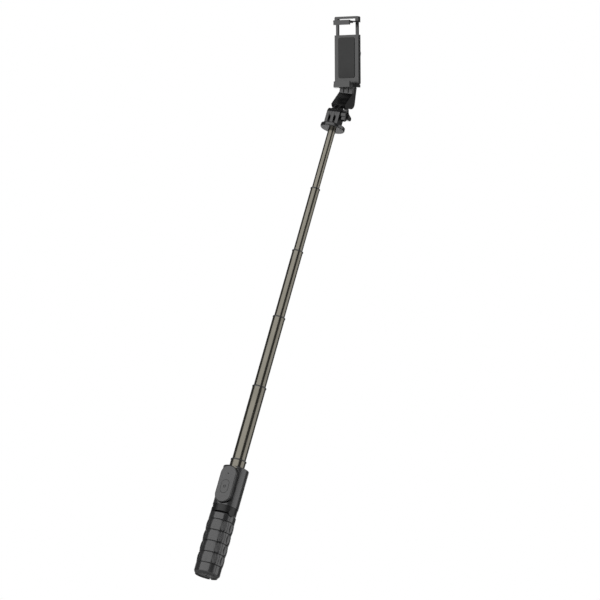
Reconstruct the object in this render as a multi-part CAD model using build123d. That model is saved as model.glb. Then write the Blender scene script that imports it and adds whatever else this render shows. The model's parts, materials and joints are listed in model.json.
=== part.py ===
from build123d import *
import os
from math import radians, sin, tan

# Telescopic selfie stick with a fold-out tripod grip, a removable remote and a sprung phone clamp.
# Millimetres. The stick stands along +Z, the remote and the phone face -Y, and the origin is the
# centre of the closed feet.

# ---------------------------------------------------------------- grip and legs
leg_count = 3
grip_r = 15.4              # legs, measured at the grooves between the rows
row_bulge = 0.6            # how far the middle of a row stands out of grip_r
row_count = 4
row_pitch = 13.0
groove_half_width = 0.55
groove_depth = 0.75
foot_plain_height = 13.1   # plain band under the rows
leg_plain_height = 8.4     # plain band over the rows
foot_edge_radius = 3.6
leg_top_round = 1.0
leg_gap_angle = 1.4        # gap between two closed legs, degrees
leg_inner_r = 10.3
leg_shell_wall = 2.2
leg_rib = 1.4
leg_side_rib_angle = 11.0  # thickness of the rib along each long edge of a leg, degrees
notch_count = 3            # valleys across one leg
notch_depth = 0.4          # how much deeper a valley is at mid row than at its ends
notch_flank = 11.0         # slope of a valley's two sides, degrees

pin_r = 0.9
pin_offset = 11.3          # hinge pin from the stick's axis
pin_drop = 3.0             # hinge pin under the top of a leg
knuckle_r = 1.9
knuckle_width = 5.6
cheek_r = 1.8
cheek_width = 1.8
cheek_gap = 0.2            # between knuckle and cheek, on each side
hinge_shell_wall = 1.2     # leg wall where it passes outside the cheeks
hinge_pocket_depth = 7.2   # height of the room for the cheeks, down from the top of a leg

foot_pad_height = 3.0
foot_pad_proud = 0.8
foot_pad_inset = 0.9       # pad's inner edge from the leg's inner face
foot_pad_width = 2.0
foot_floor = 3.2           # floor that closes the grip between the legs' lower ends
foot_floor_r = 1.5
foot_floor_root = 0.5      # how far the floor runs into the leg's shell
knuckle_root = 0.2         # how far the knuckle's back runs into the leg's shell

# ---------------------------------------------------------------- hub over the legs
band_r = 14.6
waist_height = 1.8         # room for the legs' top edges as they swing in
band_height = 9.5          # from the top of the legs to the housing, waist included
hub_wall = 0.85
hub_skirt = 8.4            # how far the hub's sleeve reaches down between the legs
lug_r = 3.7
lug_proud = 0.4
lug_clearance = 1.0
lug_lift = 2.3             # centre of a lug over the top of the legs
spigot_height = 8.0
spigot_r = 12.2
spigot_flat = 0.7          # spigot left in front of tube_1, behind the remote's seat
hub_screw_r = 0.9
hub_screw_head_r = 1.7
hub_screw_head_height = 1.3
hub_screw_offset = 12.1
hub_screw_length = 14.0
cheek_root = 0.6           # how far a cheek runs into the hub's sleeve

# ---------------------------------------------------------------- upper housing
housing_r = 15.2
housing_height = 47.0
housing_edge_round = 0.8
housing_wall = 2.0
dish_r = 12.4
dish_depth = 2.5
seat_offset = 10.2         # flat the remote rests on, from the stick's axis
seat_wall = 1.1
seat_margin = 1.3          # seat showing round the remote
collar_length = 6.0        # solid collar gripping tube_1 at the top of the housing

# ---------------------------------------------------------------- telescopic tubes
tube_count = 6
tube_od = 18.0             # outermost tube
tube_od_step = 1.8
tube_wall = 0.45
first_exposure = 90.0      # tube_2 showing between two rings when pulled out
exposure_step = 3.75       # each later tube shows this much less
stub_height = 9.0          # tube_1 showing over the housing
tube_overlap = 18.0        # tube left inside the one below when pulled out
tube_1_bottom = 30.0       # lower end of tube_1 over the floor
lip_height = 1.5
lip_proud = 0.35
ring_sleeve = 6.0
glide_length = 9.0
glide_floor = 1.0
slide_clearance = 0.05
dimple_width = 2.4
dimple_height = 3.4
dimple_drop = 3.3          # dimple centre under the tube's upper end
plug_height = 4.0

# ---------------------------------------------------------------- remote
remote_width = 20.1
remote_length = 44.3
remote_top_gap = 0.9       # remote's upper end under the housing's top
remote_thickness = 6.6
remote_back_gap = 0.1
remote_wall = 1.1
remote_edge = 1.5
remote_split = 2.6         # thickness of the rear half of the remote's case
button_width = 9.2
button_length = 15.9
button_drop = 26.5         # button centre under the housing's top
button_gap = 0.2
button_proud = 0.15
button_travel = 0.4
button_flange = 0.7
icon_r = 1.55
icon_line = 0.5
icon_depth = 0.2
led_drop = 11.0
led_r = 0.75
board_thickness = 0.8
cell_r = 6.25
cell_thickness = 1.6
dome_r = 2.6
dome_height = 0.35

# ---------------------------------------------------------------- head base and tilt joint
disc_r = 14.65
disc_thickness = 4.5
disc_round = 1.2
socket_depth = 3.4         # how far tube_6 goes into the head base
lock_pin_r = 0.7
lock_pin_offset = 11.4
tilt_height = 14.4         # tilt axis over the disc
prong_r = 7.0
prong_thickness = 3.6
prong_pitch = 6.6
prong_shift = -1.2         # middle of the three prongs along X
prong_gap = 0.2            # between two neighbouring prongs
crown_gap = 0.6            # between the prongs' round ends and the neck
bolt_r = 2.4
bolt_clearance = 0.05
nut_r = 4.4
nut_thickness = 2.4
knob_gap = 0.4
knob_hub_r = 5.6
knob_collar = 2.0
knob_thickness = 4.6
knob_lobe_reach = 8.4
knob_wing_reach = 13.2
knob_lobe_r = 2.7
knob_recess_r = 3.6
knob_recess_depth = 2.6
knob_lobe_angle = 105.0
knob_neck_inset = 0.6      # knob's inner collar under the hub radius
knob_web = 0.8             # width of a lobe's root as a share of the hub's
knob_edge = 0.8

# ---------------------------------------------------------------- arm and clamp, in the head's own frame
head_pitch = 20.0          # forward tilt of the arm as the stick is shown
clamp_roll = -8.0          # turn of the clamp about its pivot as the stick is shown
neck_width = 18.0
neck_depth = 10.6
neck_front = 18.4          # front face of the neck behind the tilt axis
neck_foot = 7.8            # underside of the neck's foot over the tilt axis
neck_toe = 1.5             # front end of the neck's foot
neck_toe_height = 4.2
neck_toe_slope = 2.5
neck_heel_r = 7.0
neck_gusset = 18.2         # where the slanted front meets the neck, over its underside
neck_rib_count = 3
neck_rib_depth = 1.3
neck_edge = 1.6
flute_lift = 1.3           # lower end of a flute over the top of the slanted front
flute_top_gap = 2.0        # upper end of a flute under the turntable
tongue_back = 2.0          # how far an arm prong's root stands behind its round end
tongue_rise = 3.5          # height of that root over the underside of the neck's foot
tongue_root_r = 3.0
pivot_height = 72.0        # roll pivot over the tilt axis
pivot_screw_r = 2.5
pivot_head_r = 4.6
pivot_head_height = 2.2
pivot_head_edge = 0.5
pivot_slot = 1.2           # width of the screwdriver slot, and twice its depth
pivot_slot_length = 5.5
washer_thickness = 0.3
washer_r = 8.0
turntable_r = 9.4
turntable_gap = 0.15

phone_gap = 71.0           # between the jaw pads
pad_thickness = 1.0
clamp_front = 7.5          # front face of the clamp body behind the tilt axis
clamp_depth = 4.8
cover_thickness = 1.2
clamp_width = 30.7
jaw_bar = 3.4
jaw_reach = 14.5           # from the clamp body's front face to the lip's front face
lip_thickness = 3.0
jaw_lip_width = 20.6
jaw_lip_height = 5.6
jaw_lip_overlap = 2.6      # how far a lip stands over its pad
jaw_corner = 3.0
jaw_back_corner = 1.0
jaw_arm = 1.0              # full-width part of a shelf in front of the clamp body
lip_edge = 0.8
jaw_hollow_wall = 2.0
jaw_hollow_depth = 1.8
jaw_frame_corner = 1.5
pad_gap = 0.3              # pad to lip, and pad to back pad
pad_inset = 1.0            # pad's ends inside the lip's width
back_pad_low = 8.0         # back pad over the lower shelf
back_pad_high = 3.0        # back pad under the clamp body's top
back_pad_corner = 2.5
cover_screw_low = 12.0     # lower cover screws over the lower shelf
cover_screw_high = 6.0     # upper cover screws under the clamp body's top
jaw_screw_reach = 6.0      # jaw screws into the clamp body
screw_tip_wall = 1.0       # clamp body in front of a screw's tip
body_top_gap = 14.5        # clamp body's top under the upper pad
rail_width = 3.0
rail_depth = 3.2
rail_clearance = 0.2
rail_wall = 1.0            # clamp body outside a rail
rail_length = 48.0
shoulder_width = 4.0
upper_shelf_bar = 1.5      # upper jaw's shelf over the phone
window_height = 2.9
frame_bar = 2.8            # bar over the window
spring_r = 1.3
spring_wire = 0.45
body_floor = 1.6
screw_r = 1.0
screw_head_r = 1.8
screw_head_height = 0.8
screw_slot_width = 0.5
screw_slot_depth = 0.4
screw_slot_length = 2.8

# ---------------------------------------------------------------- worked out from the sizes above
leg_top = foot_plain_height + row_count * row_pitch + leg_plain_height
pin_height = leg_top - pin_drop
band_top = leg_top + band_height
waist_top = leg_top + waist_height
housing_top = band_top + housing_height
leg_angle = 360 / leg_count
tube_1_top = housing_top + stub_height
seat_bottom = housing_top - remote_top_gap - remote_length - seat_margin
seat_top = housing_top - remote_top_gap + seat_margin
remote_mid = housing_top - remote_top_gap - remote_length / 2
remote_back = seat_offset + remote_back_gap
remote_face = remote_back + remote_thickness
button_height = housing_top - button_drop
clamp_back = clamp_front + clamp_depth + cover_thickness
lower_shelf = pivot_height - phone_gap / 2 - pad_thickness
upper_shelf = pivot_height + phone_gap / 2 + pad_thickness
body_top = upper_shelf - body_top_gap
BASE = (Align.CENTER, Align.CENTER, Align.MIN)


def tube_r(k):
    """Outer radius of tube number k, counted from the outermost."""
    return tube_od / 2 - (k - 1) * tube_od_step / 2


def tube_exposure(k):
    """Length of tube k that shows when it is pulled out."""
    return first_exposure - (k - 2) * exposure_step


def ring_top(k):
    """Height of the top of the ring on tube k; for the last tube, of its end in the head base."""
    height = tube_1_top + lip_height
    return height + sum(tube_exposure(n) for n in range(2, k + 1))


disc_bottom = ring_top(tube_count)
disc_top = disc_bottom + disc_thickness
tilt_axis_height = disc_top + tilt_height
HEAD = Pos(0, 0, tilt_axis_height) * Rot(head_pitch, 0, 0)
CLAMP = HEAD * Pos(0, 0, pivot_height) * Rot(0, clamp_roll, 0) * Pos(0, 0, -pivot_height)


def post(radius, low, high):
    """Upright cylinder between two heights."""
    return Pos(0, 0, low) * Cylinder(radius, high - low, align=BASE)


def sleeve(outer, inner, low, high):
    """Upright tube between two heights."""
    return post(outer, low, high) - post(inner, low - 1, high + 1)


def block(low, high):
    """Box between two corners."""
    size = [b - a for a, b in zip(low, high)]
    mid = [(a + b) / 2 for a, b in zip(low, high)]
    return Pos(*mid) * Box(*size)


def bar_x(radius, low, high, y=0.0, z=0.0):
    """Cylinder along X."""
    return Pos((low + high) / 2, y, z) * Rot(0, 90, 0) * Cylinder(radius, high - low)


def bar_y(radius, low, high, x=0.0, z=0.0):
    """Cylinder along Y."""
    return Pos(x, (low + high) / 2, z) * Rot(90, 0, 0) * Cylinder(radius, high - low)


def stadium(width, length, front, back, z):
    """Upright slab with round ends: width along X, length along Z, between two places on Y."""
    outline = Pos(0, -z) * SlotOverall(length, width, rotation=90)
    return Pos(0, back, 0) * extrude(Plane.XZ * Pos(0, 2 * z) * outline, back - front)


def turned(solid, k):
    """A piece drawn with its leg along +X, turned to leg number k; leg 1 faces -Y."""
    return Rot(0, 0, -90 + (k - 1) * leg_angle) * solid


def wedge(inner, outer, low, high, half_angle):
    """Part of an upright ring, centred on +X."""
    section = Plane.XZ * Pos((inner + outer) / 2, (low + high) / 2) * Rectangle(outer - inner, high - low)
    return revolve(Rot(0, 0, -half_angle) * section, Axis.Z, 2 * half_angle)


# ---------------------------------------------------------------- legs
def leg_outline():
    """Half section of the closed legs: round foot edge, barrel rows between V grooves, plain top."""
    z = foot_pad_proud
    edges = [
        Line((leg_inner_r, z), (grip_r - foot_edge_radius, z)),
        RadiusArc((grip_r - foot_edge_radius, z), (grip_r, z + foot_edge_radius), -foot_edge_radius),
        Line((grip_r, z + foot_edge_radius), (grip_r, foot_plain_height - groove_half_width)),
    ]
    for row in range(row_count + 1):
        z = foot_plain_height + row * row_pitch
        edges += [
            Line((grip_r, z - groove_half_width), (grip_r - groove_depth, z)),
            Line((grip_r - groove_depth, z), (grip_r, z + groove_half_width)),
        ]
        if row < row_count:
            edges.append(ThreePointArc(
                (grip_r, z + groove_half_width),
                (grip_r + row_bulge, z + row_pitch / 2),
                (grip_r, z + row_pitch - groove_half_width),
            ))
    edges += [
        Line((grip_r, z + groove_half_width), (grip_r, leg_top - leg_top_round)),
        RadiusArc((grip_r, leg_top - leg_top_round), (grip_r - leg_top_round, leg_top), -leg_top_round),
        Line((grip_r - leg_top_round, leg_top), (leg_inner_r, leg_top)),
        Line((leg_inner_r, leg_top), (leg_inner_r, foot_pad_proud)),
    ]
    return make_face(Curve() + edges)


def notch_wheel():
    """Wheel with a blunt V rim that leaves one leaf-shaped valley, deepest at mid row."""
    half_length = row_pitch / 2 - groove_half_width
    wheel_r = half_length ** 2 / (2 * notch_depth)
    half_width = 3 * grip_r * sin(radians(notch_flank))
    rim_drop = half_width * tan(radians(notch_flank))
    section = make_face(Polyline(
        (0, -half_width), (wheel_r - rim_drop, -half_width), (wheel_r, 0),
        (wheel_r - rim_drop, half_width), (0, half_width), close=True,
    ))
    wheel = revolve(Plane.XY * section, Axis.Y, 360)
    return Pos(grip_r - notch_depth + wheel_r, 0, 0) * wheel


def leg():
    """One tripod leg along +X: faceted outer shell, ribbed inside, hinge knuckle at the top."""
    half = leg_angle / 2 - leg_gap_angle / 2
    body = revolve(Rot(0, 0, -half) * (Plane.XZ * leg_outline()), Axis.Z, 2 * half)
    wheel = notch_wheel()
    step = leg_angle / notch_count
    for row in range(row_count):
        z = foot_plain_height + (row + 0.5) * row_pitch
        for n in range(notch_count):
            body -= Rot(0, 0, (n - (notch_count - 1) / 2) * step) * Pos(0, 0, z) * wheel
    pocket_outer = grip_r - leg_shell_wall
    for row in range(row_count):
        z = foot_plain_height + row * row_pitch
        body -= wedge(leg_inner_r - 1, pocket_outer, z + leg_rib / 2, z + row_pitch - leg_rib / 2,
                      half - leg_side_rib_angle)
    hinge_low = leg_top - hinge_pocket_depth
    body -= post(grip_r - hinge_shell_wall, hinge_low, leg_top + 1)
    knuckle = block((pin_offset - knuckle_r, -knuckle_width / 2, hinge_low - 1),
                    (grip_r - hinge_shell_wall, knuckle_width / 2, pin_height))
    knuckle += block((pin_offset, -knuckle_width / 2, pin_height - 1),
                     (grip_r - hinge_shell_wall + knuckle_root, knuckle_width / 2, pin_height))
    knuckle += bar_y(knuckle_r, -knuckle_width / 2, knuckle_width / 2, pin_offset, pin_height)
    knuckle &= post(grip_r - hinge_shell_wall / 2, hinge_low - 1, leg_top)
    body += knuckle
    body -= bar_y(pin_r + slide_clearance, -knuckle_width, knuckle_width, pin_offset, pin_height)
    for side in (-1, 1):
        scoop = bar_x(lug_r + lug_clearance, 0, 2 * grip_r, 0, leg_top + lug_lift)
        body -= Rot(0, 0, side * leg_angle / 2) * scoop
    body += wedge(foot_floor_r, leg_inner_r + foot_floor_root, foot_pad_proud, foot_pad_proud + foot_floor,
                  half)
    return body - foot_pad()


def foot_pad():
    """Rubber pad set into the lower end of a leg."""
    inner = leg_inner_r + foot_pad_inset
    return wedge(inner, inner + foot_pad_width, 0, foot_pad_height, leg_angle / 2 - leg_side_rib_angle / 2)


def hinge_pin():
    length = knuckle_width + 2 * (cheek_gap + cheek_width)
    return bar_y(pin_r, -length / 2, length / 2, pin_offset, pin_height)


# ---------------------------------------------------------------- hub
def leg_hub():
    """Black ring between housing and legs, with the hinge cheeks and a round lug at each leg split."""
    hub = post(band_r, waist_top, band_top) + spigot()
    hub += post(tube_r(1) + hub_wall, leg_top - hub_skirt, waist_top)
    inner = knuckle_width / 2 + cheek_gap
    for k in range(1, leg_count + 1):
        for side in (-1, 1):
            low, high = sorted((side * inner, side * (inner + cheek_width)))
            cheek = block((tube_r(1) - cheek_root, low, pin_height - cheek_r),
                          (pin_offset, high, pin_height + cheek_r))
            cheek += bar_y(cheek_r, low, high, pin_offset, pin_height)
            hub += turned(cheek, k)
        lug = bar_x(lug_r, tube_r(1) + hub_wall / 2, band_r + lug_proud, 0, leg_top + lug_lift)
        hub += turned(Rot(0, 0, leg_angle / 2) * lug, k)
    hub -= post(tube_r(1), 0, housing_top)
    slot = block((tube_r(1) - 1, -inner, leg_top - hub_skirt - 1), (band_r + 1, inner, waist_top))
    for k in range(1, leg_count + 1):
        hub -= turned(slot, k)
        hub -= turned(hinge_pin(), k)
    for k in range(2, leg_count + 1):
        hub -= turned(hub_screw(), k)
    return hub


def spigot():
    """Stub of the hub inside the housing, cut flat behind the remote's seat."""
    stub = post(spigot_r, band_top, band_top + spigot_height)
    front = tube_r(1) + spigot_flat
    return stub & block((-spigot_r, -front, band_top), (spigot_r, spigot_r, band_top + spigot_height))


def hub_screw():
    """Screw that ties the hub to the housing, driven up from the waist."""
    head_top = waist_top + hub_screw_head_height
    screw = post(hub_screw_head_r, waist_top, head_top)
    screw += post(hub_screw_r, head_top, waist_top + hub_screw_length)
    return Pos(hub_screw_offset, 0, 0) * screw


# ---------------------------------------------------------------- upper housing
def upper_housing():
    """Round housing over the hub, with a flat seat for the remote and a dished top."""
    body = post(housing_r, band_top, housing_top)
    body = fillet(body.edges().filter_by(GeomType.CIRCLE).group_by(Axis.Z)[-1], housing_edge_round)
    body -= post(dish_r, housing_top - dish_depth, housing_top + 1)
    body -= post(tube_r(1), band_top - 1, housing_top + 1)
    body -= spigot()
    body -= stadium(remote_width + 2 * seat_margin, seat_top - seat_bottom, -2 * housing_r, -seat_offset,
                    (seat_top + seat_bottom) / 2)
    hollow = sleeve(housing_r - housing_wall, tube_r(1) + seat_wall, band_top + spigot_height + housing_wall,
                    housing_top - dish_depth - collar_length)
    behind_seat = block((-housing_r, seat_wall - seat_offset, band_top), (housing_r, housing_r, housing_top))
    body -= hollow & behind_seat
    for k in range(2, leg_count + 1):
        body -= turned(hub_screw(), k)
    return body


# ---------------------------------------------------------------- tubes, rings and glides
def dimple(k, inner_r, outer_r):
    """Upright slot through the +X side of tube k."""
    z = tube_top(k) - dimple_drop
    slot = Pos(0, z) * SlotOverall(dimple_height, dimple_width, rotation=90)
    plug = extrude(Plane.YZ * slot, outer_r + 1)
    return plug & sleeve(outer_r, inner_r, z - dimple_height, z + dimple_height)


def tube_top(k):
    """Upper end of tube k: under its ring's lip, or inside the head base for the last tube."""
    return ring_top(k) + socket_depth if k == tube_count else ring_top(k) - lip_height


def tube(k):
    """Round steel tube number k with the slot that keeps its ring from turning."""
    low = tube_1_bottom if k == 1 else ring_top(k - 1) - tube_overlap + glide_floor
    body = sleeve(tube_r(k), tube_r(k) - tube_wall, low, tube_top(k))
    if k < tube_count:
        body -= dimple(k, tube_r(k) - 2 * tube_wall, tube_r(k) + 1)
    return body


def ring(k):
    """Black guide ring in the top of tube k: lip, sleeve and the small key that fills the slot."""
    bore = tube_r(k + 1) + slide_clearance
    body = sleeve(tube_r(k) + lip_proud, bore, tube_top(k), ring_top(k))
    body = chamfer(body.edges().filter_by(GeomType.CIRCLE).group_by(Axis.Z)[-1].sort_by(SortBy.LENGTH)[-1],
                   lip_proud)
    body += sleeve(tube_r(k) - tube_wall, bore, tube_top(k) - ring_sleeve, tube_top(k))
    return body + dimple(k, bore, tube_r(k) - tube_wall / 4)


def glide(k):
    """Plastic cup on the lower end of tube k that slides in the tube round it."""
    low = ring_top(k - 1) - tube_overlap
    outer = tube_r(k - 1) - tube_wall - slide_clearance
    body = sleeve(outer, tube_r(k), low, low + glide_length)
    return body + sleeve(outer, tube_r(k) - 2 * tube_wall, low, low + glide_floor)


def column_plug():
    """Plug that closes the lower end of tube_1 between the legs."""
    return post(tube_r(1) - tube_wall, tube_1_bottom, tube_1_bottom + plug_height)


# ---------------------------------------------------------------- remote
def remote_rear():
    """Rear half of the remote's case, an open tray."""
    front = -remote_back - remote_split
    tray = stadium(remote_width, remote_length, front, -remote_back, remote_mid)
    tray -= stadium(remote_width - 2 * remote_wall, remote_length - 2 * remote_wall, front - 1,
                    -remote_back - remote_wall, remote_mid)
    return tray


def remote_front():
    """Front half of the remote's case, with the openings for the button and the light."""
    case = stadium(remote_width, remote_length, -remote_face, -remote_back - remote_split, remote_mid)
    case = fillet(case.faces().sort_by(Axis.Y)[0].edges(), remote_edge)
    walls = 2 * remote_wall + remote_edge
    case -= stadium(remote_width - walls, remote_length - walls,
                    -remote_face + remote_wall, -remote_back + 1, remote_mid)
    case -= stadium(button_width + 2 * button_gap, button_length + 2 * button_gap, -remote_face - 1,
                    -remote_back, button_height)
    return case - bar_y(led_r, -remote_face - 1, -remote_back, 0, housing_top - led_drop)


def remote_button():
    """Push button with a flange under the case and a plain ring pressed into its face."""
    face = -remote_face - button_proud
    inner = -remote_face + remote_wall + button_gap
    cap = stadium(button_width, button_length, face, inner + button_flange, button_height)
    cap = chamfer(cap.faces().sort_by(Axis.Y)[0].edges(), button_proud)
    cap += stadium(button_width + 4 * button_flange, button_length + 4 * button_flange, inner,
                   inner + button_flange, button_height)
    groove = bar_y(icon_r, face - 1, face + icon_depth, 0, button_height)
    return cap - (groove - bar_y(icon_r - icon_line, face - 2, face + 1, 0, button_height))


def remote_led():
    """Small light pipe beside the button."""
    z = housing_top - led_drop
    pipe = bar_y(led_r, -remote_face + icon_depth, -remote_face + 2 * remote_wall, 0, z)
    return pipe + bar_y(2 * led_r, -remote_face + remote_wall, -remote_face + 2 * remote_wall, 0, z)


def board_front():
    """Front face of the remote's circuit board on the Y axis."""
    moving_back = -remote_face + remote_wall + button_gap + button_flange
    return moving_back + button_travel + dome_height


def remote_board():
    front = board_front()
    inside = 2 * remote_wall + remote_edge + 2 * button_gap
    return stadium(remote_width - inside, remote_length - inside, front, front + board_thickness, remote_mid)


def button_dome():
    """Metal dome switch on the board behind the button."""
    front = board_front()
    return bar_y(dome_r, front - dome_height, front, 0, button_height)


def coin_cell():
    """Battery behind the board."""
    back = -remote_back - remote_wall
    return bar_y(cell_r, back - cell_thickness, back, 0, remote_mid)


# ---------------------------------------------------------------- head base
def head_base():
    """Round collar on tube_6 with the three prongs of the tilt joint."""
    disc = post(disc_r, disc_bottom, disc_top)
    disc = fillet(disc.edges().filter_by(GeomType.CIRCLE), disc_round)
    for side in (-1, 0, 1):
        x = prong_shift + side * prong_pitch
        low, high = x - prong_thickness / 2, x + prong_thickness / 2
        disc += block((low, -prong_r, disc_top - 1), (high, prong_r, tilt_axis_height))
        disc += bar_x(prong_r, low, high, 0, tilt_axis_height)
    disc -= post(tube_r(tube_count), disc_bottom - 1, disc_bottom + socket_depth)
    disc -= bar_x(bolt_r + bolt_clearance, -disc_r, disc_r, 0, tilt_axis_height)
    disc -= tilt_nut(True)
    return disc - lock_pin()


def lock_pin():
    """Small pin pressed into the underside of the collar."""
    pin = post(lock_pin_r, disc_bottom + disc_round / 2, disc_bottom + socket_depth)
    return Pos(-lock_pin_offset, 0, 0) * pin


def prong_left():
    """Outer face of the prong that holds the nut."""
    return prong_shift - prong_pitch - prong_thickness / 2


def tilt_nut(solid=False):
    """Hexagon nut sunk in the outer face of the left prong."""
    hexagon = extrude(RegularPolygon(nut_r, 6), nut_thickness)
    nut = Pos(prong_left(), 0, tilt_axis_height) * Rot(0, 90, 0) * hexagon
    if solid:
        return nut
    return nut - bar_x(bolt_r + bolt_clearance, -2 * disc_r, 0, 0, tilt_axis_height)


def knob_start():
    """Inner face of the thumb knob."""
    return prong_shift + prong_pitch + prong_thickness / 2 + knob_gap


def tilt_bolt():
    """Bolt through the five prongs, fixed in the thumb knob."""
    end = knob_start() + knob_collar + knob_thickness - knob_recess_depth
    bolt = bar_x(bolt_r, prong_left() + nut_thickness / 4, end, 0, tilt_axis_height)
    return chamfer(bolt.edges().filter_by(GeomType.CIRCLE).sort_by(Axis.X)[0], bolt_r / 5)


def knob_section():
    """Outline of the thumb knob: round hub, two short lobes and one long wing."""
    outline = Circle(knob_hub_r)
    for angle, reach in ((0, knob_wing_reach), (knob_lobe_angle, knob_lobe_reach),
                         (-knob_lobe_angle, knob_lobe_reach)):
        tip = reach - knob_lobe_r
        lobe, root = Pos(tip, 0) * Circle(knob_lobe_r), Circle(knob_web * knob_hub_r)
        arm = make_hull([*lobe.edges(), *root.edges()])
        outline += Rot(0, 0, angle) * arm
    return outline


def thumb_knob():
    """Winged knob on the +X side that tightens the tilt joint."""
    start = knob_start() + knob_collar
    wing = extrude(knob_section(), knob_thickness)
    wing = fillet(wing.edges().filter_by(Plane.XY).group_by(Axis.Z)[-1], knob_edge)
    upright = Rot(0, 90, 0) * Rot(0, 0, 90)
    knob = Pos(start, 0, tilt_axis_height) * upright * wing
    knob += bar_x(knob_hub_r - knob_neck_inset, knob_start(), start, 0, tilt_axis_height)
    outer = start + knob_thickness
    knob -= bar_x(knob_recess_r, outer - knob_recess_depth, outer + 1, 0, tilt_axis_height)
    return knob - bar_x(bolt_r, knob_start() - 1, outer, 0, tilt_axis_height)


# ---------------------------------------------------------------- tilt arm
def arm_prong(side):
    """One of the arm's two prongs, between two prongs of the base."""
    x = prong_shift + side * prong_pitch / 2
    half = (prong_pitch - prong_thickness) / 2 - prong_gap
    root = neck_foot + tongue_rise
    tongue = extrude(Plane.YZ * make_hull([
        *Circle(prong_r).edges(),
        *(Pos(prong_r + tongue_back, root) * Circle(tongue_root_r)).edges(),
    ]), half, both=True)
    return Pos(x, 0, 0) * tongue


def neck_side():
    """Side view of the arm: from behind the prongs back and up to the roll pivot."""
    back = neck_front + neck_depth
    top = pivot_height + neck_width / 2
    toe_low, toe_high = (neck_toe + neck_toe_slope, neck_foot), (neck_toe, neck_foot + neck_toe_height)
    return make_face(
        Line(toe_high, toe_low)
        + Line(toe_low, (back - neck_heel_r, neck_foot))
        + RadiusArc((back - neck_heel_r, neck_foot), (back, neck_foot + neck_heel_r), -neck_heel_r)
        + Line((back, neck_foot + neck_heel_r), (back, top))
        + Line((back, top), (neck_front, top))
        + Line((neck_front, top), (neck_front, neck_foot + neck_gusset))
        + Line((neck_front, neck_foot + neck_gusset), toe_high)
    )


def tilt_arm():
    """Arm from the tilt joint to the roll pivot behind the clamp, with a ribbed neck."""
    neck = extrude(Plane.YZ * neck_side(), neck_width / 2, both=True)
    long_edges = neck.edges().filter_by(Axis.Z).filter_by(lambda e: e.length > neck_width)
    neck = fillet(long_edges, neck_edge)
    top = bar_y(neck_width / 2, 0, neck_front + 2 * neck_depth, 0, pivot_height)
    below = block((-neck_width, -neck_width, 0), (neck_width, 2 * neck_front + neck_depth, pivot_height))
    neck &= top + below
    pitch = neck_width / neck_rib_count
    rib_top = pivot_height - turntable_r - flute_top_gap
    flute_low = neck_foot + neck_gusset + flute_lift
    for n in range(neck_rib_count - 1):
        x = (n - (neck_rib_count - 2) / 2) * pitch
        flute = block((x - neck_rib_depth / 2, neck_front - 1, flute_low),
                      (x + neck_rib_depth / 2, neck_front + neck_rib_depth, rib_top))
        neck -= flute + bar_y(neck_rib_depth / 2, neck_front - 1, neck_front + neck_rib_depth, x, flute_low)
    neck += arm_prong(-1) + arm_prong(1)
    neck -= bar_x(bolt_r + bolt_clearance, -neck_width, neck_width)
    for side in (-1, 0, 1):
        x = prong_shift + side * prong_pitch
        half = prong_thickness / 2 + prong_gap
        neck -= bar_x(prong_r + crown_gap, x - half, x + half)
    back = neck_front + neck_depth
    neck -= bar_y(pivot_screw_r + slide_clearance, neck_front - 1, back + 1, 0, pivot_height)
    return HEAD * neck


def friction_washer():
    disc = bar_y(washer_r, neck_front - washer_thickness, neck_front, 0, pivot_height)
    hole = bar_y(pivot_screw_r + slide_clearance, neck_front - 1, neck_front + 1, 0, pivot_height)
    return HEAD * (disc - hole)


# ---------------------------------------------------------------- clamp
def turntable():
    """Round boss on the back of the clamp that turns against the neck."""
    back = neck_front - washer_thickness - turntable_gap
    disc = bar_y(turntable_r, clamp_back, back, 0, pivot_height)
    return CLAMP * (disc - bar_y(pivot_screw_r, clamp_back - 1, back + 1, 0, pivot_height))


def pivot_screw():
    """Screw of the roll pivot, fixed in the clamp and running in the neck."""
    back = neck_front + neck_depth + turntable_gap
    head = bar_y(pivot_head_r, back, back + pivot_head_height, 0, pivot_height)
    head = chamfer(head.edges().filter_by(GeomType.CIRCLE).sort_by(Axis.Y)[-1], pivot_head_edge)
    slot = Box(pivot_slot, pivot_slot, pivot_slot_length)
    head -= Pos(0, back + pivot_head_height, pivot_height) * slot
    return CLAMP * (head + bar_y(pivot_screw_r, clamp_back - cover_thickness, back, 0, pivot_height))


def rail_mid():
    """Middle of a rail on X."""
    return clamp_width / 2 - rail_wall - rail_clearance - rail_width / 2


def rail_room(side, low, high, clearance):
    """Space of one rail, grown by a clearance."""
    half = rail_width / 2 + clearance
    mid_y = clamp_front + clamp_depth - rail_depth / 2 - rail_clearance
    return block((side * rail_mid() - half, mid_y - rail_depth / 2 - clearance, low),
                 (side * rail_mid() + half, mid_y + rail_depth / 2 + clearance, high))


def plate(low, high, front, back, corner):
    """Flat plate across the clamp with two chamfered lower corners."""
    body = block((-clamp_width / 2, front, low), (clamp_width / 2, back, high))
    return chamfer(body.edges().filter_by(Axis.Y).group_by(Axis.Z)[0], corner)


def clamp_body():
    """Main plate of the clamp with two channels for the upper jaw's rails and springs."""
    body = plate(lower_shelf, body_top, clamp_front, clamp_front + clamp_depth, jaw_corner / 2)
    for side in (-1, 1):
        body -= rail_room(side, lower_shelf + body_floor, body_top + 1, rail_clearance)
    for screw in cover_screw_places():
        body -= screw
    for x in jaw_screw_places():
        tip = post(screw_r, lower_shelf - 1, lower_shelf + jaw_screw_reach)
        body -= Pos(x, clamp_front + clamp_depth / 2, 0) * tip
    return CLAMP * (body - bar_y(pivot_screw_r, clamp_front + screw_tip_wall, clamp_back, 0, pivot_height))


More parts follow.
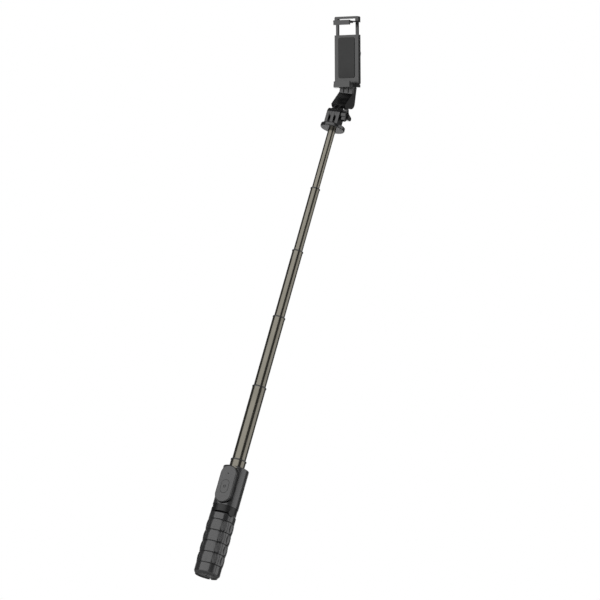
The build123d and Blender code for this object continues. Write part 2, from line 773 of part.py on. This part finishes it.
def clamp_cover():
    """Thin rear cover that closes the channels."""
    body = plate(lower_shelf, body_top, clamp_front + clamp_depth, clamp_back, jaw_corner / 2)
    for screw in cover_screw_places():
        body -= screw
    return CLAMP * (body - bar_y(pivot_screw_r, clamp_front, clamp_back + 1, 0, pivot_height))


def cover_screw_places():
    """Four countersunk screws of the rear cover."""
    x = rail_mid() - rail_width - screw_head_r
    screws = []
    for side in (-1, 1):
        for z in (lower_shelf + cover_screw_low, body_top - cover_screw_high):
            screws.append(bar_y(screw_head_r, clamp_back - screw_head_height, clamp_back, side * x, z)
                          + bar_y(screw_r, clamp_front + screw_tip_wall, clamp_back - screw_head_height,
                                   side * x, z))
    return screws


def slotted(screw):
    """A cover screw with a straight slot across its head."""
    middle = screw.bounding_box().center()
    slot = Box(screw_slot_length, 2 * screw_slot_depth, screw_slot_width)
    return screw - Pos(middle.X, clamp_back, middle.Z) * slot


def cover_screws():
    return CLAMP * Compound(children=[slotted(screw) for screw in cover_screw_places()])


def jaw_screw_places():
    return [-clamp_width / 4, clamp_width / 4]


def jaw_screws():
    """Two screws from below that hold the lower jaw to the clamp body."""
    y = clamp_front + clamp_depth / 2
    screws = []
    for x in jaw_screw_places():
        low = lower_shelf - jaw_bar
        screw = post(screw_head_r, low, low + screw_head_height)
        screw += post(screw_r, low + screw_head_height, lower_shelf + jaw_screw_reach)
        screws.append(Pos(x, y, 0) * screw)
    return CLAMP * Compound(children=screws)


def jaw_shelf(low, high):
    """Shelf under or over the phone: full width at the clamp body, narrower at the lip."""
    half, lip = clamp_width / 2, jaw_lip_width / 2
    front = clamp_front - jaw_reach
    arm = clamp_front - jaw_arm
    neck = arm - (half - lip)
    outline = make_face(Polyline(
        (-half, clamp_back), (half, clamp_back), (half, arm), (lip, neck),
        (lip, front), (-lip, front), (-lip, neck), (-half, arm), close=True,
    ))
    return Pos(0, 0, low) * extrude(outline, high - low)


def jaw_lip(low, high):
    """Lip in front of the phone."""
    front = clamp_front - jaw_reach
    lip = block((-jaw_lip_width / 2, front, low), (jaw_lip_width / 2, front + lip_thickness, high))
    return fillet(lip.edges().filter_by(Axis.Z).group_by(Axis.Y)[0], lip_edge)


def lower_jaw():
    """Fixed lower jaw with a hollow underside."""
    low = lower_shelf - jaw_bar
    body = jaw_shelf(low, lower_shelf)
    body = chamfer(body.edges().filter_by(Axis.Z).group_by(Axis.Y)[-1], jaw_back_corner)
    lip_top = lower_shelf + pad_thickness + jaw_lip_overlap
    body += jaw_lip(lip_top - jaw_lip_height, lip_top)
    front = clamp_front - jaw_reach + lip_thickness
    half = jaw_lip_width / 2 - jaw_hollow_wall
    body -= block((-half, front, low - 1), (half, clamp_front - jaw_hollow_wall, low + jaw_hollow_depth))
    y = clamp_front + clamp_depth / 2
    for x in jaw_screw_places():
        hole = post(screw_head_r, low - 1, low + screw_head_height)
        body -= Pos(x, y, 0) * (hole + post(screw_r, low, lower_shelf + 1))
    return CLAMP * body


def upper_jaw():
    """Sliding upper jaw: lip, shelf, open frame and two rails."""
    window_low = upper_shelf + upper_shelf_bar
    window_high = window_low + window_height
    top = window_high + frame_bar
    body = jaw_shelf(upper_shelf, window_low)
    lip_low = upper_shelf - pad_thickness - jaw_lip_overlap
    body += jaw_lip(lip_low, lip_low + jaw_lip_height)
    frame = block((-clamp_width / 2, clamp_front, upper_shelf), (clamp_width / 2, clamp_back, top))
    frame = fillet(frame.edges().filter_by(Axis.Y).group_by(Axis.Z)[-1], jaw_frame_corner)
    inner = clamp_width / 2 - shoulder_width
    frame -= block((-inner, clamp_front - 1, window_low), (inner, clamp_back + 1, window_high))
    body += frame
    for side in (-1, 1):
        body += rail_room(side, upper_shelf - rail_length, upper_shelf + 1, 0)
    return CLAMP * body


def jaw_pad(low):
    """Rubber pad on a jaw's shelf."""
    front = clamp_front - jaw_reach + lip_thickness
    half = jaw_lip_width / 2 - pad_inset
    back = clamp_front - pad_thickness - pad_gap
    return CLAMP * block((-half, front + pad_gap, low), (half, back, low + pad_thickness))


def back_pad():
    """Rubber strip on the clamp body's front face behind the phone."""
    body = block((-jaw_lip_width / 2, clamp_front - pad_thickness, lower_shelf + back_pad_low),
                 (jaw_lip_width / 2, clamp_front, body_top - back_pad_high))
    return CLAMP * fillet(body.edges().filter_by(Axis.Y), back_pad_corner)


def jaw_springs():
    """Two extension springs under the rails, drawn as thin tubes of the coils' size."""
    springs = []
    y = clamp_front + clamp_depth - rail_depth / 2 - rail_clearance
    for side in (-1, 1):
        coil = sleeve(spring_r, spring_r - spring_wire, lower_shelf + body_floor, upper_shelf - rail_length)
        springs.append(Pos(side * rail_mid(), y, 0) * coil)
    return CLAMP * Compound(children=springs)


# ---------------------------------------------------------------- all nodes
def solids():
    """Every node by name."""
    parts = {
        "upper_housing": upper_housing(),
        "leg_hub": leg_hub(),
        "hub_screws": Compound(children=[turned(hub_screw(), k) for k in range(2, leg_count + 1)]),
        "hinge_pins": Compound(children=[turned(hinge_pin(), k) for k in range(1, leg_count + 1)]),
        "column_plug": column_plug(),
    }
    one_leg, one_pad = leg(), foot_pad()
    for k in range(1, leg_count + 1):
        parts[f"leg_{k}"] = turned(one_leg, k)
        parts[f"foot_pad_{k}"] = turned(one_pad, k)
    for k in range(1, tube_count + 1):
        parts[f"tube_{k}"] = tube(k)
    for k in range(1, tube_count):
        parts[f"guide_ring_{k}"] = ring(k)
        parts[f"glide_{k + 1}"] = glide(k + 1)
    parts.update({
        "remote_rear_case": remote_rear(),
        "remote_front_case": remote_front(),
        "remote_button": remote_button(),
        "remote_light_pipe": remote_led(),
        "remote_board": remote_board(),
        "button_dome": button_dome(),
        "coin_cell": coin_cell(),
        "head_base": head_base(),
        "head_lock_pin": lock_pin(),
        "tilt_nut": tilt_nut(),
        "tilt_bolt": tilt_bolt(),
        "thumb_knob": thumb_knob(),
        "tilt_arm": tilt_arm(),
        "friction_washer": friction_washer(),
        "turntable": turntable(),
        "pivot_screw": pivot_screw(),
        "clamp_body": clamp_body(),
        "clamp_cover": clamp_cover(),
        "cover_screws": cover_screws(),
        "lower_jaw": lower_jaw(),
        "jaw_screws": jaw_screws(),
        "lower_jaw_pad": jaw_pad(lower_shelf),
        "upper_jaw": upper_jaw(),
        "upper_jaw_pad": jaw_pad(upper_shelf - pad_thickness),
        "back_pad": back_pad(),
        "jaw_springs": jaw_springs(),
    })
    return parts


os.makedirs("parts", exist_ok=True)
for name, solid in solids().items():
    export_step(solid, f"parts/{name}.step")
print(f"leg top {leg_top:.1f}, housing top {housing_top:.1f}, collar {disc_bottom:.1f}, "
      f"tilt axis {tilt_axis_height:.1f}")
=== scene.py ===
import json
from math import cos, pi, radians, sin

import bpy
from mathutils import Matrix, Vector

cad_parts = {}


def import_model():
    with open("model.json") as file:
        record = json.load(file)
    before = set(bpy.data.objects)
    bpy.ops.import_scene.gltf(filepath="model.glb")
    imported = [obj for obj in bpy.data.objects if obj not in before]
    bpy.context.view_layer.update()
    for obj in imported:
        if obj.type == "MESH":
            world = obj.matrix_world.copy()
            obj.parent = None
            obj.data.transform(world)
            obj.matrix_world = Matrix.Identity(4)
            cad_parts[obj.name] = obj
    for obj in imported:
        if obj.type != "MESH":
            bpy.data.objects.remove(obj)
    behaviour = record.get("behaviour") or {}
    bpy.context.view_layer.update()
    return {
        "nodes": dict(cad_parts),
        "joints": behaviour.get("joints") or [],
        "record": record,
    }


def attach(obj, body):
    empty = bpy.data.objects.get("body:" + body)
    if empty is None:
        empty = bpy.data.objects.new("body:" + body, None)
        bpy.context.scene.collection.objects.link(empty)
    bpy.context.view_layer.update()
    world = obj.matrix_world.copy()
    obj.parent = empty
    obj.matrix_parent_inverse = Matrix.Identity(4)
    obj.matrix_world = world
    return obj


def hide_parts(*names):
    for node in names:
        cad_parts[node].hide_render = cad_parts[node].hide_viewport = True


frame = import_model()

# Telescopic selfie stick. Metres, in the same frame as the CAD.
nodes = frame["nodes"]

# ---------------------------------------------------------------- named sizes
MM = 0.001
view_azimuth = 26.5
view_elevation = -15.39
view_roll = 15.7
view_distance = 5.061
view_lens = 262.7
aim_height = 0.340          # point of the stick at the middle of the picture
aim_side = 0.01795          # and how far the picture's middle is to its right
aim_rise = -0.0018          # and over it

floor_drop = 1.6            # floor under the feet, below the camera
floor_size = 30.0
sensor_width = 36.0

noise_low = 0.3             # part of a noise value's span that is used
noise_high = 0.7
seen_strength = 1.0         # white surroundings
fill_strength = 0.16        # their share of the light on the stick
edge_radius = 0.18 * MM     # how round a moulded edge looks

hidden_tube_top = 126 * MM   # tube_1 under this height is inside the grip
# painted shade: the colour tube_1 is painted below hidden_tube_top, where the grip shades it
painted_shade_black = (0.002, 0.002, 0.002)

icon_ring_r = 1.3 * MM
icon_line_r = 0.22 * MM
icon_steps = 48
icon_shade_inset = 0.02 * MM       # painted shade sits this far behind the button's face

spring_turns = 14
spring_coil_r = 1.02 * MM
spring_wire_r = 0.24 * MM
spring_steps = 14           # points on one turn


# ---------------------------------------------------------------- node helpers
def shader(name):
    """A new material with its Principled shader, texture coordinates and rounded edges."""
    material = bpy.data.materials.new(name)
    material.use_nodes = True
    tree = material.node_tree
    principled = tree.nodes["Principled BSDF"]
    place = tree.nodes.new("ShaderNodeTexCoord")
    edges = tree.nodes.new("ShaderNodeBevel")
    edges.samples = 4
    edges.inputs["Radius"].default_value = edge_radius
    return material, tree, principled, place, edges


def noise(tree, place, scale, detail=3.0, stretch=(1, 1, 1)):
    """Noise in object space; a stretch under 1 along an axis draws it out that way."""
    mapping = tree.nodes.new("ShaderNodeMapping")
    mapping.inputs["Scale"].default_value = stretch
    texture = tree.nodes.new("ShaderNodeTexNoise")
    texture.inputs["Scale"].default_value = scale
    texture.inputs["Detail"].default_value = detail
    tree.links.new(place.outputs["Object"], mapping.inputs["Vector"])
    tree.links.new(mapping.outputs["Vector"], texture.inputs["Vector"])
    return texture.outputs["Fac"]


def remap(tree, value, low, high):
    """A noise value spread over a range."""
    node = tree.nodes.new("ShaderNodeMapRange")
    node.inputs["From Min"].default_value = noise_low
    node.inputs["From Max"].default_value = noise_high
    node.inputs["To Min"].default_value = low
    node.inputs["To Max"].default_value = high
    tree.links.new(value, node.inputs["Value"])
    return node.outputs["Result"]


def tint(tree, value, dark, light):
    """A colour between two by a noise value."""
    ramp = tree.nodes.new("ShaderNodeValToRGB")
    ramp.color_ramp.elements[0].position = noise_low
    ramp.color_ramp.elements[1].position = noise_high
    ramp.color_ramp.elements[0].color = (*dark, 1)
    ramp.color_ramp.elements[1].color = (*light, 1)
    tree.links.new(value, ramp.inputs["Fac"])
    return ramp.outputs["Color"]


def bump(tree, height, depth, edges, strength=1.0):
    """Relief of a real depth over the rounded edges."""
    node = tree.nodes.new("ShaderNodeBump")
    node.inputs["Strength"].default_value = strength
    node.inputs["Distance"].default_value = depth
    tree.links.new(height, node.inputs["Height"])
    tree.links.new(edges.outputs["Normal"], node.inputs["Normal"])
    return node.outputs["Normal"]


# ---------------------------------------------------------------- materials
def moulded_plastic(name, colour, spread, roughness, grain=0.006 * MM, specular=0.5):
    """Spark-eroded moulded plastic: fine grain, faint flow marks and uneven sheen."""
    material, tree, principled, place, edges = shader(name)
    flow = noise(tree, place, scale=90.0)
    fine = noise(tree, place, scale=4200.0, detail=2.0)
    dark = [c * (1 - spread) for c in colour]
    light = [c * (1 + spread) for c in colour]
    tree.links.new(tint(tree, flow, dark, light), principled.inputs["Base Color"])
    tree.links.new(remap(tree, flow, roughness - 0.05, roughness + 0.05), principled.inputs["Roughness"])
    tree.links.new(bump(tree, fine, grain, edges), principled.inputs["Normal"])
    principled.inputs["IOR"].default_value = 1.5
    principled.inputs["Specular IOR Level"].default_value = specular
    return material


def drawn_metal(name, colour, roughness):
    """Plated tube: fine marks drawn along its length, with faint cloudy wear."""
    material, tree, principled, place, edges = shader(name)
    drawn = noise(tree, place, scale=2600.0, stretch=(1, 1, 0.012))
    cloud = noise(tree, place, scale=60.0, detail=4.0)
    dark = [c * 0.93 for c in colour]
    light = [min(1.0, c * 1.05) for c in colour]
    tree.links.new(tint(tree, cloud, dark, light), principled.inputs["Base Color"])
    tree.links.new(remap(tree, drawn, roughness - 0.02, roughness + 0.03), principled.inputs["Roughness"])
    tree.links.new(bump(tree, drawn, 0.001 * MM, edges, 0.4), principled.inputs["Normal"])
    principled.inputs["Metallic"].default_value = 1.0
    return material


def turned_steel(name, colour, roughness):
    """Plated fastener steel: fine all-round grain with duller patches."""
    material, tree, principled, place, edges = shader(name)
    patch = noise(tree, place, scale=900.0, detail=4.0)
    dark = [c * 0.8 for c in colour]
    tree.links.new(tint(tree, patch, dark, colour), principled.inputs["Base Color"])
    tree.links.new(remap(tree, patch, roughness - 0.06, roughness + 0.1), principled.inputs["Roughness"])
    tree.links.new(bump(tree, noise(tree, place, 5000.0), 0.004 * MM, edges), principled.inputs["Normal"])
    principled.inputs["Metallic"].default_value = 1.0
    return material


def rubber(name, colour):
    """Soft rubber: matt, pebbled, a little dusty."""
    material, tree, principled, place, edges = shader(name)
    dust = noise(tree, place, scale=220.0, detail=4.0)
    light = [c * 1.9 for c in colour]
    tree.links.new(tint(tree, dust, colour, light), principled.inputs["Base Color"])
    tree.links.new(remap(tree, dust, 0.78, 0.92), principled.inputs["Roughness"])
    tree.links.new(bump(tree, noise(tree, place, 2400.0), 0.03 * MM, edges), principled.inputs["Normal"])
    return material


def circuit_board(name):
    """Green solder mask over a grid of copper tracks."""
    material, tree, principled, place, edges = shader(name)
    tracks = tree.nodes.new("ShaderNodeTexBrick")
    tracks.inputs["Scale"].default_value = 700.0
    tracks.inputs["Mortar Size"].default_value = 0.08
    tracks.inputs["Color1"].default_value = (0.012, 0.10, 0.035, 1)
    tracks.inputs["Color2"].default_value = (0.015, 0.13, 0.045, 1)
    tracks.inputs["Mortar"].default_value = (0.03, 0.22, 0.08, 1)
    tree.links.new(place.outputs["Object"], tracks.inputs["Vector"])
    tree.links.new(tracks.outputs["Color"], principled.inputs["Base Color"])
    tree.links.new(bump(tree, tracks.outputs["Fac"], 0.03 * MM, edges), principled.inputs["Normal"])
    principled.inputs["Roughness"].default_value = 0.3
    return material


def smoked_pipe(name):
    """Unlit light pipe: clear acrylic over a dark case, slightly cloudy."""
    material, tree, principled, place, edges = shader(name)
    haze = noise(tree, place, scale=1500.0)
    colour = tint(tree, haze, (0.003, 0.003, 0.0035), (0.008, 0.008, 0.009))
    tree.links.new(colour, principled.inputs["Base Color"])
    tree.links.new(remap(tree, haze, 0.12, 0.22), principled.inputs["Roughness"])
    tree.links.new(edges.outputs["Normal"], principled.inputs["Normal"])
    principled.inputs["IOR"].default_value = 1.49
    principled.inputs["Specular IOR Level"].default_value = 0.1
    return material


def with_painted_shade(metal):
    """Copy of a metal finish with painted shade: black under the top of the housing, where the grip closes
    round it and shades it.
    """
    material = metal.copy()
    tree = material.node_tree
    principled = tree.nodes["Principled BSDF"]
    place = next(n for n in tree.nodes if n.type == "TEX_COORD")
    split, above = tree.nodes.new("ShaderNodeSeparateXYZ"), tree.nodes.new("ShaderNodeMath")
    above.operation = "GREATER_THAN"
    above.inputs[1].default_value = hidden_tube_top
    tree.links.new(place.outputs["Object"], split.inputs["Vector"])
    tree.links.new(split.outputs["Z"], above.inputs[0])
    mix = tree.nodes.new("ShaderNodeMix")
    mix.data_type = "RGBA"
    # dark takes the painted shade colour, light the finish's own colour
    dark, light = [i for i in mix.inputs if i.type == "RGBA"]
    result = next(o for o in mix.outputs if o.type == "RGBA")
    dark.default_value = (*painted_shade_black, 1)
    colour = principled.inputs["Base Color"].links[0].from_socket
    tree.links.new(above.outputs["Value"], mix.inputs["Factor"])
    tree.links.new(colour, light)
    tree.links.new(result, principled.inputs["Base Color"])
    return material


charcoal = (0.014, 0.014, 0.0144)
black = (0.005, 0.005, 0.0052)
hub_black = (0.003, 0.003, 0.0031)
finishes = {
    "housing_plastic": moulded_plastic("housing plastic", charcoal, 0.08, 0.24),
    "leg_plastic": moulded_plastic("leg plastic", charcoal, 0.10, 0.20),
    "hub_plastic": moulded_plastic("hub plastic", hub_black, 0.10, 0.38, specular=0.25),
    "tube_steel": drawn_metal("drawn tube", (0.105, 0.099, 0.083), 0.20),
    "guide_plastic": moulded_plastic("guide plastic", black, 0.12, 0.38),
    "pad_rubber": rubber("pad rubber", (0.012, 0.012, 0.012)),
    "remote_plastic": moulded_plastic("remote plastic", charcoal, 0.07, 0.26),
    "light_pipe": smoked_pipe("light pipe"),
    "fastener_steel": turned_steel("fastener steel", (0.52, 0.52, 0.53), 0.3),
    "circuit_board": circuit_board("circuit board"),
    "cell_steel": turned_steel("cell steel", (0.62, 0.61, 0.58), 0.22),
    "head_plastic": moulded_plastic("head plastic", black, 0.12, 0.22),
    "clamp_plastic": moulded_plastic("clamp plastic", black, 0.12, 0.24),
}


def dress():
    """Gives every CAD node the finish of its material slot; tube_1 gets painted shade, black where the grip
    hides it.
    """
    for row in frame["record"]["subparts"]:
        node = nodes[row["node"]]
        node.data.materials.clear()
        finish = finishes[row["material_slot"]]
        # tube_1 gets painted shade below the top of the grip
        node.data.materials.append(with_painted_shade(finish) if row["node"] == "tube_1" else finish)


# ---------------------------------------------------------------- jaw springs
def coil(low, high):
    """Helix of wire between two ends."""
    axis = (high - low).normalized()
    side = axis.orthogonal().normalized()
    other = axis.cross(side)
    count = spring_turns * spring_steps
    curve = bpy.data.curves.new("jaw_coil", "CURVE")
    curve.dimensions = "3D"
    curve.bevel_depth = spring_wire_r
    curve.bevel_resolution = 2
    curve.use_fill_caps = True
    spline = curve.splines.new("POLY")
    spline.points.add(count)
    for n in range(count + 1):
        turn = 2 * pi * n / spring_steps
        point = low.lerp(high, n / count) + spring_coil_r * (cos(turn) * side + sin(turn) * other)
        spline.points[n].co = (*point, 1)
    return curve


def springs():
    """Two extension springs in place of the plain tubes; they keep their length at every pose."""
    mesh = nodes["jaw_springs"].data
    groups = {True: [], False: []}
    middle = sum((v.co.x for v in mesh.vertices)) / len(mesh.vertices)
    for vertex in mesh.vertices:
        groups[vertex.co.x > middle].append(vertex.co.copy())
    slide = next(j for j in frame["joints"] if j["name"] == "jaw_slide")
    axis = Vector(slide["axis"]).normalized()
    for name, points in (("right", groups[True]), ("left", groups[False])):
        centre = sum(points, Vector()) / len(points)
        reach = max((p - centre).dot(axis) for p in points) - spring_wire_r
        piece = bpy.data.objects.new(f"jaw_coil_{name}", coil(centre - reach * axis, centre + reach * axis))
        bpy.context.scene.collection.objects.link(piece)
        piece.data.materials.append(finishes["fastener_steel"])
        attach(piece, "clamp")
        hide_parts("jaw_springs")


# ---------------------------------------------------------------- button icon, with painted shade in its groove
def paint_icon_groove_shade():
    """Painted shade: a black ring laid in the ring groove pressed into the button's face."""
    button = nodes["remote_button"].data
    face = min(v.co.y for v in button.vertices)
    heights = [v.co.z for v in button.vertices]
    curve = bpy.data.curves.new("button_icon_shade", "CURVE")
    curve.dimensions = "3D"
    curve.bevel_depth = icon_line_r
    curve.bevel_resolution = 2
    spline = curve.splines.new("POLY")
    spline.points.add(icon_steps - 1)
    spline.use_cyclic_u = True
    middle = (min(heights) + max(heights)) / 2
    for n in range(icon_steps):
        turn = 2 * pi * n / icon_steps
        x, z = icon_ring_r * cos(turn), middle + icon_ring_r * sin(turn)
        spline.points[n].co = (x, face + icon_line_r + icon_shade_inset, z, 1)
    ring = bpy.data.objects.new("button_icon_shade", curve)
    bpy.context.scene.collection.objects.link(ring)
    # the hub's black plastic serves as the painted shade in the groove
    ring.data.materials.append(finishes["hub_plastic"])
    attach(ring, "button")


# ---------------------------------------------------------------- studio
def plain(name, colour, roughness=0.9):
    material = bpy.data.materials.new(name)
    material.use_nodes = True
    principled = material.node_tree.nodes["Principled BSDF"]
    principled.inputs["Base Color"].default_value = (*colour, 1)
    principled.inputs["Roughness"].default_value = roughness
    return material


def floor():
    """Pale floor well below the stick, which is shown held up."""
    half = floor_size / 2
    mesh = bpy.data.meshes.new("floor")
    corners = [(-half, -half), (half, -half), (half, half), (-half, half)]
    mesh.from_pydata([(x, y, -floor_drop) for x, y in corners], [], [(0, 1, 2, 3)])
    piece = bpy.data.objects.new("floor", mesh)
    bpy.context.scene.collection.objects.link(piece)
    mesh.materials.append(plain("pale floor", (0.86, 0.86, 0.86)))


def world():
    """Surroundings that look white to the camera and light the stick only dimly."""
    scene_world = bpy.data.worlds.new("studio")
    bpy.context.scene.world = scene_world
    scene_world.use_nodes = True
    tree = scene_world.node_tree
    tree.nodes.clear()
    seen, fill = tree.nodes.new("ShaderNodeBackground"), tree.nodes.new("ShaderNodeBackground")
    seen.inputs["Color"].default_value = (1, 1, 1, 1)
    seen.inputs["Strength"].default_value = seen_strength
    fill.inputs["Color"].default_value = (1, 1, 1, 1)
    fill.inputs["Strength"].default_value = fill_strength
    path, mix = tree.nodes.new("ShaderNodeLightPath"), tree.nodes.new("ShaderNodeMixShader")
    output = tree.nodes.new("ShaderNodeOutputWorld")
    tree.links.new(path.outputs["Is Camera Ray"], mix.inputs["Fac"])
    tree.links.new(fill.outputs["Background"], mix.inputs[1])
    tree.links.new(seen.outputs["Background"], mix.inputs[2])
    tree.links.new(mix.outputs["Shader"], output.inputs["Surface"])


def softbox(name, azimuth, height, distance, size, power):
    """Upright area light at an azimuth round the stick, aimed at its middle."""
    light = bpy.data.lights.new(name, "AREA")
    light.shape = "RECTANGLE"
    light.size, light.size_y = size
    light.energy = power
    lamp = bpy.data.objects.new(name, light)
    aim = Vector((0, 0, aim_height))
    angle = radians(azimuth)
    lamp.location = aim + Vector((distance * sin(angle), -distance * cos(angle), height))
    lamp.rotation_euler = (aim - lamp.location).to_track_quat("-Z", "Y").to_euler()
    bpy.context.scene.collection.objects.link(lamp)
    lamp.visible_camera = False


def studio():
    """A broad softbox at the left, a narrower one at the right, and weak ones above and behind."""
    softbox("left softbox", view_azimuth - 38, height=0.1, distance=3.2, size=(5.76, 4.4), power=199)
    softbox("right softbox", view_azimuth + 74, height=0.2, distance=3.2, size=(3.12, 4.4), power=86)
    softbox("top softbox", view_azimuth, height=2.4, distance=0.6, size=(2.0, 2.0), power=14)
    softbox("back softbox", view_azimuth + 180, height=0.6, distance=2.4, size=(2.4, 2.4), power=26)


# ---------------------------------------------------------------- camera
def camera():
    """Camera at the picture's angle, rolled so that the stick leans to the right."""
    azimuth, elevation, roll = radians(view_azimuth), radians(view_elevation), radians(view_roll)
    towards = Vector((sin(azimuth) * cos(elevation), -cos(azimuth) * cos(elevation), sin(elevation)))
    level = Vector((0, 0, 1)).cross(towards).normalized()
    upright = towards.cross(level)
    right = cos(roll) * level + sin(roll) * upright
    up = cos(roll) * upright - sin(roll) * level
    aim = Vector((0, 0, aim_height)) + aim_side * right + aim_rise * up
    data = bpy.data.cameras.new("camera")
    data.lens = view_lens
    data.sensor_width = sensor_width
    eye = bpy.data.objects.new("camera", data)
    turn = Matrix((right, up, towards)).transposed().to_4x4()
    eye.matrix_world = Matrix.Translation(aim + view_distance * towards) @ turn
    bpy.context.scene.collection.objects.link(eye)
    bpy.context.scene.camera = eye


dress()
springs()
paint_icon_groove_shade()
floor()
world()
studio()
camera()
bpy.context.scene.view_settings.view_transform = "Standard"
